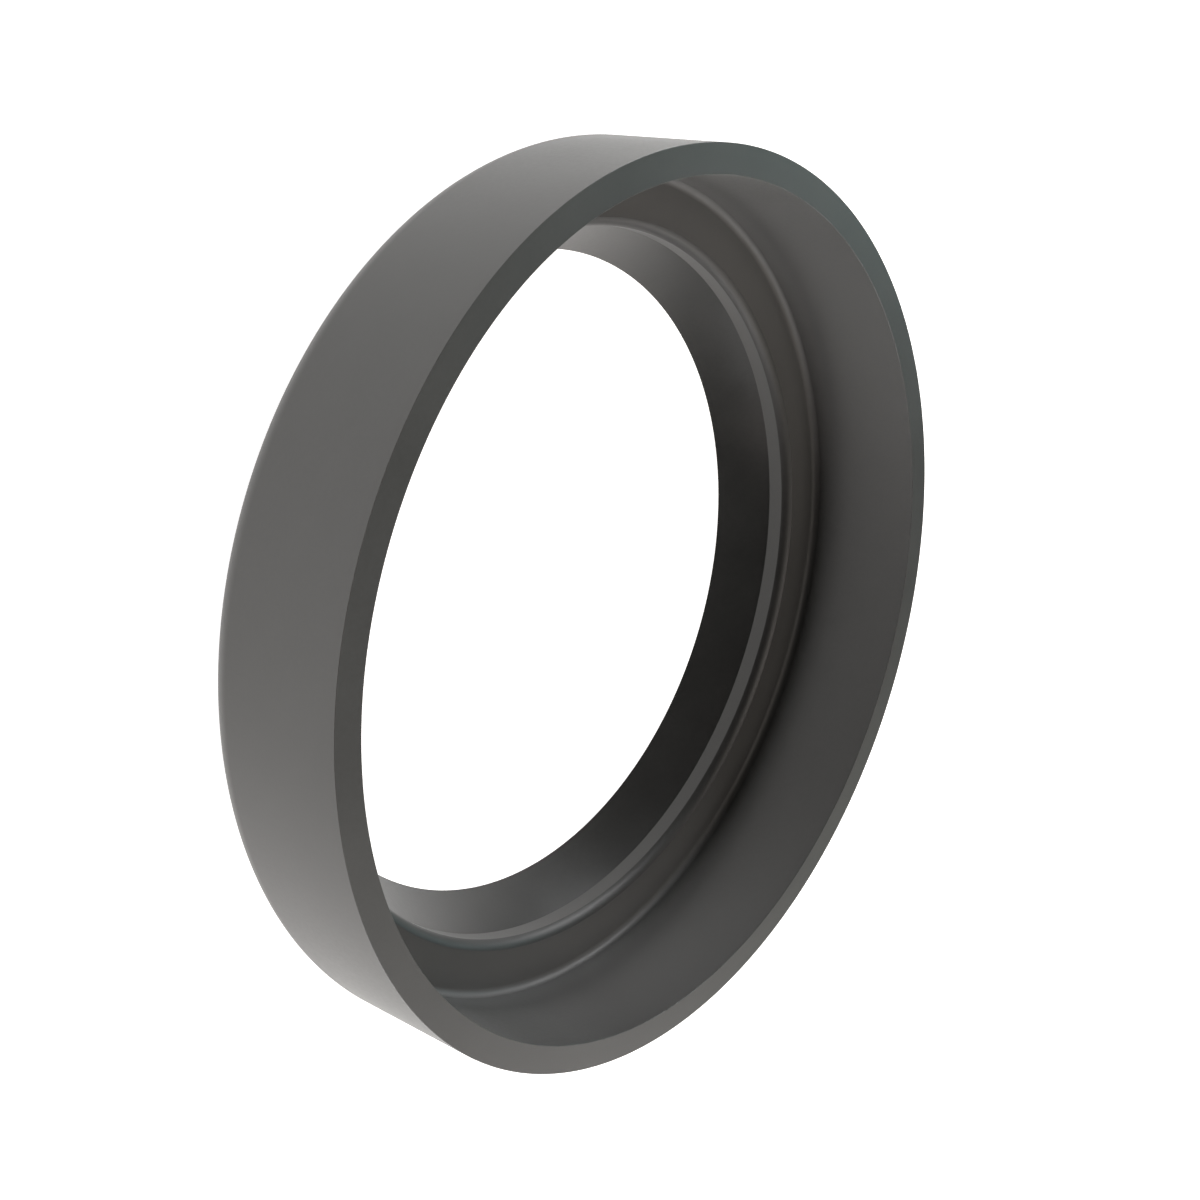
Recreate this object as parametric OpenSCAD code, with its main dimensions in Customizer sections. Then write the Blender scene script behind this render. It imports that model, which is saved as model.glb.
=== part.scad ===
// Shaft seal: one moulded ring with a press-fit shell, a flat web and a
// thin conical lip. It lies on the end of its lip with the open side of the
// shell facing up. The axis is Z, and Z = 0 is the end face of the lip.
// All sizes are in millimetres.

/* [Shell] */
// Outside diameter, pressed into the housing bore
shell_od = 40; // [39.5:0.1:44]
// Inside diameter of the shell wall
shell_id = 37.5; // [37:0.1:38.5]
// Width of the shell, from the open rim to the back of the web
shell_w = 7.1; // [5:0.1:10]
// Radius of the rounded lead-in edge at the back of the shell
lead_in_r = 1.25; // [0.3:0.05:1.3]

/* [Web] */
// Thickness of the web
web_t = 1.25; // [0.95:0.05:2.5]
// Diameter of the hole through the web
hole_d = 32.5; // [31.6:0.1:34]
// Radius of the inner corner between the web and the shell wall
corner_r = 0.35; // [0.1:0.05:0.6]
// Size of the 45 degree chamfer on the front edge of the hole
hole_chamfer = 0.4; // [0.1:0.05:0.5]
// Radius to which the chamfer's face is rounded
chamfer_face_r = 0.7; // [0.7:0.05:3]

/* [Lip] */
// Diameter of the sealing edge on the shaft
lip_d = 30; // [28:0.1:31]
// How far the lip stands out behind the web
lip_reach = 2.3; // [1.5:0.1:4]
// Width of the flat end face of the lip
lip_end_w = 0.65; // [0.3:0.05:0.8]
// How deep inside the hole the lip's cone begins, in front of the back of the web
cone_start = 0.1; // [0:0.05:0.2]
// Radius of the corner between the lip and the back of the web
root_r = 0.5; // [0.1:0.05:0.6]

/* [Hidden] */

$fn = 180;
// The root fillet's disc is this much larger, so that it cuts clean across the
// sloping side that it touches
hair = 0.0002;

shell_r = shell_od / 2;
bore_r = shell_id / 2;
hole_r = hole_d / 2;
lip_r = lip_d / 2;

// Heights above the end of the lip
z_back = lip_reach;              // back of the web
z_cone = lip_reach + cone_start; // the lip's inner cone meets the hole
z_web = lip_reach + web_t;       // front of the web
z_rim = lip_reach + shell_w;     // open rim

// The lip's two sides run at the same angle to the axis
lip_slope = (hole_r - lip_r) / z_cone;
lip_angle = atan(lip_slope);
lip_out_r = lip_r + lip_end_w;            // outer edge of the end face
root_x = lip_out_r + lip_slope * z_back;  // the lip's outer side at the web

// Centre of the fillet between the web and the shell wall
corner_c = [bore_r - corner_r, z_web + corner_r];

// The fillet at the lip's root touches the back of the web and the lip's outer
// side, which open to 90 degrees plus the lip's own angle
root_open = 90 + lip_angle;
root_tan = root_r / tan(root_open / 2);
root_on_web = [root_x + root_tan, z_back];
root_on_lip = [root_x - root_tan * sin(lip_angle), z_back - root_tan * cos(lip_angle)];
root_c = [root_x + root_tan, z_back - root_r];

// Centre of the chamfer's round face, as far from the web's face as from the
// hole's wall. The face crosses both of them at hole_chamfer from their corner.
face_c = (hole_chamfer + sqrt(2 * pow(chamfer_face_r, 2) - pow(hole_chamfer, 2))) / 2;

// What a round edge of radius r takes off the outside corner at [0, 0], whose
// solid lies to the left and above
module edge_sliver(r) {
    difference() {
        translate([-r, 0]) square(r);
        translate([-r, r]) circle(r);
    }
}

// What the chamfer takes off the outside corner at [0, 0], whose solid lies to
// the right and below
module chamfer_sliver() {
    difference() {
        translate([0, -1.5 * hole_chamfer]) square(1.5 * hole_chamfer);
        translate([face_c, -face_c]) circle(chamfer_face_r);
    }
}

// Half section, with X as the radius: the shell wall and web stand as an L on
// the conical lip. The outline runs through the centre of each inside fillet,
// and the disc taken out there leaves the fillet.
module section() {
    difference() {
        polygon([
            [lip_r, 0],
            [lip_out_r, 0],
            root_on_lip,
            root_c,
            root_on_web,
            [shell_r, z_back],
            [shell_r, z_rim],
            [bore_r, z_rim],
            [bore_r, corner_c[1]],
            corner_c,
            [corner_c[0], z_web],
            [hole_r, z_web],
            [hole_r, z_cone]
        ]);
        translate(corner_c) circle(corner_r);
        translate(root_c) circle(root_r + hair);
        translate([shell_r, z_back]) edge_sliver(lead_in_r);
        translate([hole_r, z_web]) chamfer_sliver();
    }
}

module seal_ring() {
    color([0.17, 0.17, 0.165]) rotate_extrude() section();
}

seal_ring();
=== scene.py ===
import math

import bpy
from mathutils import Matrix, Vector


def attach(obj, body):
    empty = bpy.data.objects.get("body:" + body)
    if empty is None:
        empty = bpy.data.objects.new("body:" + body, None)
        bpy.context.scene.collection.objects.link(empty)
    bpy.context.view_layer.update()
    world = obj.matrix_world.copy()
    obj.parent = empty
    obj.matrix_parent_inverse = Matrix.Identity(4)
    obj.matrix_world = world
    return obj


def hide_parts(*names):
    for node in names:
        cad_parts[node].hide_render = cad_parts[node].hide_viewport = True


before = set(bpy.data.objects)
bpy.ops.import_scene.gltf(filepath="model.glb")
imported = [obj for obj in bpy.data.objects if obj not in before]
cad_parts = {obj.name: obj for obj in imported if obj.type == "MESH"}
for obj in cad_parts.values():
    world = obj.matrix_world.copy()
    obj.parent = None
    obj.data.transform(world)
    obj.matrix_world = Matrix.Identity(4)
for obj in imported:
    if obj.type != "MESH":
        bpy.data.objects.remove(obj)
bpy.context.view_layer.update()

MM = 0.001
scene = bpy.context.scene

# ---------------------------------------------------------------- the ring's section, in millimetres
SHELL_R, BORE_R, HOLE_R, LIP_R = 20.0, 18.75, 16.25, 15.0
Z_BACK, Z_CONE, Z_WEB, Z_RIM = 2.3, 2.4, 3.55, 9.4
LEAD_IN, CORNER, ROOT = 1.25, 0.35, 0.5
CHAMFER, CHAMFER_FACE = 0.4, 0.7
LIP_END = 0.65
BREAK = 0.02          # tiny rounding of the moulded corners
SEGMENTS = 360


def arc(cx, cz, r, a0, a1, n, hollow=False):
    """A round corner as points (radius, height) and the surface normal at each."""
    out = []
    for i in range(n + 1):
        a = math.radians(a0 + (a1 - a0) * i / n)
        c, s = math.cos(a), math.sin(a)
        out.append(((cx + r * c, cz + r * s), (-c, -s) if hollow else (c, s)))
    return out


def broken(p, before, after, r, n=4):
    """The sharp outside corner p as a small round of radius r that touches both sides."""
    p, b, a = Vector(p), Vector(before), Vector(after)
    u, v = (b - p).normalized(), (a - p).normalized()
    half = u.angle(v) / 2
    c = p + (u + v).normalized() * (r / math.sin(half))
    s, e = p + u * (r / math.tan(half)) - c, p + v * (r / math.tan(half)) - c
    a0, a1 = math.degrees(math.atan2(s.y, s.x)), math.degrees(math.atan2(e.y, e.x))
    if a1 < a0:
        a1 += 360
    return arc(c.x, c.y, r, a0, a1, n)


def chamfer(n=6):
    """The 45 degree chamfer on the hole's front edge. Its face is a shallow arc that ends in a crease on both sides."""
    k = (CHAMFER + math.sqrt(2 * CHAMFER_FACE ** 2 - CHAMFER ** 2)) / 2
    a0, a1 = math.atan2(k, CHAMFER - k), math.atan2(k - CHAMFER, -k)
    return arc(HOLE_R + k, Z_WEB - k, CHAMFER_FACE, math.degrees(a0), math.degrees(a1), n)


def section():
    """The outline, counter-clockwise: round corners as runs of points with normals, and sharp corners as points alone."""
    slope = (HOLE_R - LIP_R) / Z_CONE
    lean = math.degrees(math.atan(slope))
    out_r = LIP_R + LIP_END
    root_x = out_r + slope * Z_BACK
    tan = ROOT / math.tan(math.radians((90 + lean) / 2))
    return [
        [((LIP_R, 0.0), None)],
        broken((out_r, 0), (LIP_R, 0), (root_x, Z_BACK), BREAK),
        arc(root_x + tan, Z_BACK - ROOT, ROOT, 180 - lean, 90, 10, hollow=True),
        arc(SHELL_R - LEAD_IN, Z_BACK + LEAD_IN, LEAD_IN, -90, 0, 20),
        broken((SHELL_R, Z_RIM), (SHELL_R, 5), (BORE_R, Z_RIM), BREAK),
        broken((BORE_R, Z_RIM), (SHELL_R, Z_RIM), (BORE_R, 5), BREAK),
        arc(BORE_R - CORNER, Z_WEB + CORNER, CORNER, 0, -90, 12, hollow=True),
        chamfer(),
        [((HOLE_R, Z_CONE), None)],
    ]


def revolve(name, runs, segments):
    """Turns the outline about Z. Each face keeps the true normal of the surface at its corners."""
    pts, sides = [], []
    for i, run in enumerate(runs):
        nxt = runs[(i + 1) % len(runs)][0][0]
        for j, (p, n) in enumerate(run):
            pts.append(p)
            if j + 1 < len(run):
                sides.append((n, run[j + 1][1]))
            else:
                d = (Vector(nxt) - Vector(p)).normalized()
                sides.append(((d.y, -d.x), (d.y, -d.x)))
    n = len(pts)
    verts, faces, normals = [], [], []
    turn = [(math.cos(2 * math.pi * i / segments), math.sin(2 * math.pi * i / segments)) for i in range(segments)]
    for c, s in turn:
        verts += [(r * c * MM, r * s * MM, z * MM) for r, z in pts]
    for i in range(segments):
        j = (i + 1) % segments
        (ci, si), (cj, sj) = turn[i], turn[j]
        for k in range(n):
            l = (k + 1) % n
            (ar, az), (br, bz) = sides[k]
            faces.append((i * n + k, j * n + k, j * n + l, i * n + l))
            normals += [(ar * ci, ar * si, az), (ar * cj, ar * sj, az), (br * cj, br * sj, bz), (br * ci, br * si, bz)]
    me = bpy.data.meshes.new(name)
    me.from_pydata(verts, [], faces)
    me.update()
    me.shade_smooth()
    me.normals_split_custom_set(normals)
    ob = bpy.data.objects.new(name, me)
    scene.collection.objects.link(ob)
    return ob


seal = revolve("moulded_ring", section(), SEGMENTS)
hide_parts("seal_ring")
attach(seal, "root")


# ---------------------------------------------------------------- rubber
def rubber():
    """Satin dark grey rubber. The web and the foot of the wall are painted paler, a painted fill light that lifts the
    shade of the recess, and are a little duller, with a duller corner between them. The cone and the chamfer are
    painted darker, painted shade: the cone smoother, the chamfer duller."""
    m = bpy.data.materials.new("moulded_rubber")
    m.use_nodes = True
    nt = m.node_tree
    b = nt.nodes["Principled BSDF"]
    b.inputs["IOR"].default_value = 1.5
    b.inputs["Specular IOR Level"].default_value = 0.5
    tc = nt.nodes.new("ShaderNodeTexCoord")

    def noise(scale, detail, rough=0.5):
        n = nt.nodes.new("ShaderNodeTexNoise")
        n.inputs["Scale"].default_value = scale
        n.inputs["Detail"].default_value = detail
        n.inputs["Roughness"].default_value = rough
        nt.links.new(tc.outputs["Object"], n.inputs["Vector"])
        return n.outputs["Fac"]

    def spread(value, lo, hi, to_lo, to_hi, smooth=False):
        r = nt.nodes.new("ShaderNodeMapRange")
        r.interpolation_type = "SMOOTHSTEP" if smooth else "LINEAR"
        r.inputs["From Min"].default_value = lo
        r.inputs["From Max"].default_value = hi
        r.inputs["To Min"].default_value = to_lo
        r.inputs["To Max"].default_value = to_hi
        nt.links.new(value, r.inputs["Value"])
        return r.outputs["Result"]

    def calc(op, *values):
        n = nt.nodes.new("ShaderNodeMath")
        n.operation = op
        for i, v in enumerate(values):
            if isinstance(v, (int, float)):
                n.inputs[i].default_value = v
            else:
                nt.links.new(v, n.inputs[i])
        return n.outputs[0]

    def total(*values):
        out = values[0]
        for v in values[1:]:
            out = calc("ADD", out, v)
        return out

    def product(*values):
        out = values[0]
        for v in values[1:]:
            out = calc("MULTIPLY", out, v)
        return out

    xyz = nt.nodes.new("ShaderNodeSeparateXYZ")
    nt.links.new(tc.outputs["Object"], xyz.inputs["Vector"])
    x, y, z = (xyz.outputs[k] for k in "XYZ")
    r = calc("SQRT", total(product(x, x), product(y, y)))
    recess = product(spread(r, 19.2 * MM, 19.0 * MM, 0, 1, True), spread(z, 3.45 * MM, 3.53 * MM, 0, 1, True))
    # web and foot of the wall: painted light, colour lifted to fill the recess's shade; also a little rougher
    web = product(recess, spread(r, 16.62 * MM, 16.70 * MM, 0, 1, True), spread(z, 5.20 * MM, 4.10 * MM, 0, 1, True))
    corner = product(recess, spread(r, 18.32 * MM, 18.42 * MM, 0, 1, True), spread(z, 4.00 * MM, 3.90 * MM, 0, 1, True))
    inward = calc("SUBTRACT", r, product(z, (HOLE_R - LIP_R) / Z_CONE))
    # cone: painted shade, its colour darkened; also a little smoother
    cone = product(spread(inward, 15.4 * MM, 15.2 * MM, 0, 1, True), spread(z, 2.44 * MM, 2.38 * MM, 0, 1, True))
    # chamfer: painted shade, its colour darkened; also rougher
    chamfered = product(spread(r, 16.68 * MM, 16.60 * MM, 0, 1, True), spread(z, 3.11 * MM, 3.17 * MM, 0, 1, True))
    cloud = noise(260, 3)            # about 4 mm: uneven bloom
    grain = noise(5200, 4, 0.6)      # about 0.2 mm: moulded grain

    # colour: random bloom and grain, plus painted light on the web and wall foot and painted shade on the cone and
    # chamfer
    bloom_and_painted_light = total(spread(cloud, 0.3, 0.7, 0.375, 0.452), spread(grain, 0.3, 0.7, 0.0, 0.051),
                 product(web, 0.43), product(cone, -0.28), product(chamfered, -0.33))
    mix = nt.nodes.new("ShaderNodeMix")
    mix.data_type = "RGBA"
    mix.inputs["A"].default_value = (0.0150, 0.0150, 0.0147, 1)
    mix.inputs["B"].default_value = (0.0850, 0.0845, 0.0830, 1)
    nt.links.new(bloom_and_painted_light, mix.inputs["Factor"])
    nt.links.new(mix.outputs["Result"], b.inputs["Base Color"])

    gloss = total(spread(cloud, 0.3, 0.7, 0.37, 0.40), spread(grain, 0.3, 0.7, 0.0, 0.04),
                  product(web, 0.04), product(corner, 0.10), product(cone, -0.05), product(chamfered, 0.09))
    nt.links.new(gloss, b.inputs["Roughness"])

    bump = nt.nodes.new("ShaderNodeBump")
    bump.inputs["Strength"].default_value = 0.10
    bump.inputs["Distance"].default_value = 0.00002
    nt.links.new(grain, bump.inputs["Height"])
    nt.links.new(bump.outputs["Normal"], b.inputs["Normal"])
    return m


seal.data.materials.append(rubber())


# ---------------------------------------------------------------- floor and light
def plain(name, colour, glow):
    m = bpy.data.materials.new(name)
    m.use_nodes = True
    b = m.node_tree.nodes["Principled BSDF"]
    b.inputs["Base Color"].default_value = (*colour, 1)
    b.inputs["Roughness"].default_value = 0.9
    b.inputs["Specular IOR Level"].default_value = 0.0
    b.inputs["Emission Color"].default_value = (1.0, 0.99, 0.98, 1)
    b.inputs["Emission Strength"].default_value = glow
    return m


SIZE = 3.0
fm = bpy.data.meshes.new("floor")
fm.from_pydata([(-SIZE, -SIZE, 0), (SIZE, -SIZE, 0), (SIZE, SIZE, 0), (-SIZE, SIZE, 0)], [], [(0, 1, 2, 3)])
fm.materials.append(plain("pale_floor", (0.8, 0.8, 0.8), 0.95))
floor = bpy.data.objects.new("floor", fm)
scene.collection.objects.link(floor)

world = bpy.data.worlds.new("studio")
scene.world = world
world.use_nodes = True
bg = world.node_tree.nodes["Background"]
bg.inputs["Color"].default_value = (1.0, 1.0, 1.0, 1)
bg.inputs["Strength"].default_value = 1.05
world.cycles_visibility.diffuse = False
world.cycles_visibility.glossy = False

REACH = 3.5
HALF = math.radians(13)


def lamp(azimuth, elevation, radiance, colour=(1, 1, 1)):
    """A round soft box of the given radiance that faces the ring."""
    d = Vector((math.cos(math.radians(elevation)) * math.cos(math.radians(azimuth)),
                math.cos(math.radians(elevation)) * math.sin(math.radians(azimuth)),
                math.sin(math.radians(elevation))))
    data = bpy.data.lights.new("lamp", "AREA")
    data.shape = "DISK"
    data.size = 2 * REACH * math.tan(HALF)
    data.energy = math.pi * math.pi * (data.size / 2) ** 2 * radiance
    data.color = colour
    o = bpy.data.objects.new("lamp", data)
    scene.collection.objects.link(o)
    o.location = d * REACH + Vector((0, 0, 0.005))
    o.rotation_euler = d.to_track_quat("Z", "Y").to_euler()
    o.visible_camera = False
    return o


for az, el, w, tint in (
        (-20, 4, 5.0, (1.10, 0.97, 0.94)), (0, 4, 8.5, (1.00, 1.00, 1.00)), (20, 4, 7.9, (0.98, 1.01, 1.01)),
        (40, 4, 5.7, (0.96, 1.03, 1.01)), (80, 4, 2.4, (1.01, 1.05, 0.94)), (120, 4, 2.8, (1.01, 1.05, 0.94)),
        (20, 20, 5.6, (1.02, 0.99, 0.99)), (60, 20, 4.9, (1.04, 0.99, 0.97)), (120, 20, 2.5, (0.76, 1.11, 1.13)),
        (160, 20, 15.6, (0.99, 1.00, 1.01)), (30, 40, 3.6, (1.08, 1.02, 0.90)), (0, 90, 5.9, (1.08, 1.00, 0.92))):
    lamp(az, el, w, tint)

# ---------------------------------------------------------------- camera
R = SHELL_R * MM
cd = bpy.data.cameras.new("camera")
cd.lens, cd.sensor_width, cd.sensor_fit = 50, 36, "HORIZONTAL"
cd.clip_start, cd.clip_end = 0.001, 20
cam = bpy.data.objects.new("camera", cd)
scene.collection.objects.link(cam)
back = Vector((-0.00020, -0.79720, 0.60372)).normalized()
right = Vector((-0.27584, 0.58034, 0.76624))
right = (right - back * right.dot(back)).normalized()
up = back.cross(right)
m = Matrix((right, up, back)).transposed().to_4x4()
m.translation = Vector((0, -2.96614 * R, 1.99895 * R + Z_RIM * MM))
cam.matrix_world = m
scene.camera = cam

scene.view_settings.view_transform = "Standard"
scene.view_settings.look = "None"
